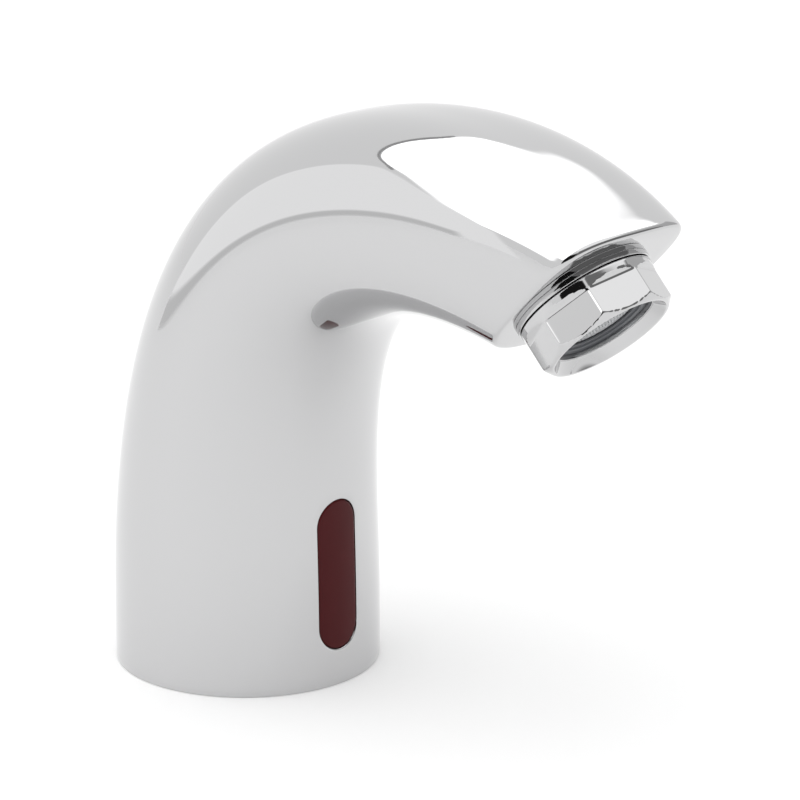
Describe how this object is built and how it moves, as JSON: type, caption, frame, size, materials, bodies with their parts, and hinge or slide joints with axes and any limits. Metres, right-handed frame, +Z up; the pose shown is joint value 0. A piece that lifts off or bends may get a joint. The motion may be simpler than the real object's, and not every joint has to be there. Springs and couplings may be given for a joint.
{
  "type": "sensor tap",
  "caption": "Chrome deck-mounted infrared sensor tap: a round column bends over into a flattened spout with a screwed aerator, a dark red sensor window low on the front.",
  "frame": {"origin": "centre of the foot's underside, on the worktop", "axes": "+Z up along the column; the spout points along -Y; +X to the side"},
  "size_m": [0.055, 0.1372, 0.1248],
  "materials": {
    "chrome": "polished",
    "window": "polished",
    "brass": "machined",
    "steel": "machined",
    "screw_steel": "zinc plated",
    "white_plastic": "moulded",
    "grey_plastic": "moulded",
    "black_plastic": "moulded",
    "black_rubber": "moulded",
    "copper": "enamelled wire",
    "board_green": "solder mask",
    "lens_dark": "clear dark moulding",
    "lens_red": "clear red moulding",
    "lead_black": "insulation"
  },
  "bodies": {
    "tap_body": {"spout_body": "chrome", "outlet_nipple": "chrome", "sensor_window": "window", "base_plate": "brass", "base_screws": "screw_steel", "foot_seal": "black_rubber", "cable_grommet": "black_rubber", "inlet_adapter": "brass", "inlet_seal": "black_rubber", "inlet_strainer": "steel", "valve_body": "white_plastic", "valve_bonnet": "grey_plastic", "bonnet_screws": "screw_steel", "core_tube": "steel", "fixed_core": "steel", "coil_bobbin": "white_plastic", "coil_winding": "copper", "coil_yoke": "steel", "coil_nut": "screw_steel", "coil_lead": "lead_black", "water_tube": "steel", "tube_seals": "black_rubber", "window_gasket": "black_rubber", "sensor_case": "black_plastic", "sensor_cover": "black_plastic", "sensor_board": "board_green", "ir_emitter": "lens_dark", "ir_receiver": "lens_dark", "status_led": "lens_red", "sensor_screws": "screw_steel"},
    "plunger": {"plunger": "steel", "plunger_seal": "black_rubber", "plunger_spring": "steel"},
    "diaphragm": {"diaphragm_support": "white_plastic", "valve_diaphragm": "black_rubber"},
    "aerator_insert": {"aerator_cage": "grey_plastic", "outlet_screen": "steel", "jet_disc": "white_plastic", "flow_regulator": "grey_plastic", "regulator_ring": "black_rubber", "aerator_seal": "black_rubber"},
    "aerator_housing": {"aerator_housing": "chrome"}
  },
  "joints": [
    {"name": "plunger_slide", "type": "slide", "parent": "tap_body", "child": "plunger", "axis": [0, 0, 1], "range_m": [0, 0.00195], "stiffness_N_per_m": 40, "springref_m": -0.01, "deforming": ["plunger_spring"]},
    {"name": "diaphragm_lift", "type": "slide", "parent": "tap_body", "child": "diaphragm", "axis": [0, 0, 1], "range_m": [0, 0.00146], "deforming": ["valve_diaphragm"]},
    {"name": "aerator_advance", "type": "slide", "parent": "tap_body", "child": "aerator_insert", "axis": [0, -0.7071, -0.7071], "range_m": [0, 0.00301]},
    {"name": "aerator_turn", "type": "hinge", "parent": "aerator_insert", "child": "aerator_housing", "pos_m": [0, -0.09282, 0.09622], "axis": [0, -0.7071, -0.7071], "range_deg": [0, 1080]}
  ],
  "couplings": [
    {"joint": "diaphragm_lift", "follows": "plunger_slide", "ratio": 0.75},
    {"joint": "aerator_advance", "follows": "aerator_turn", "m_per_rad": 0.00015915}
  ]
}
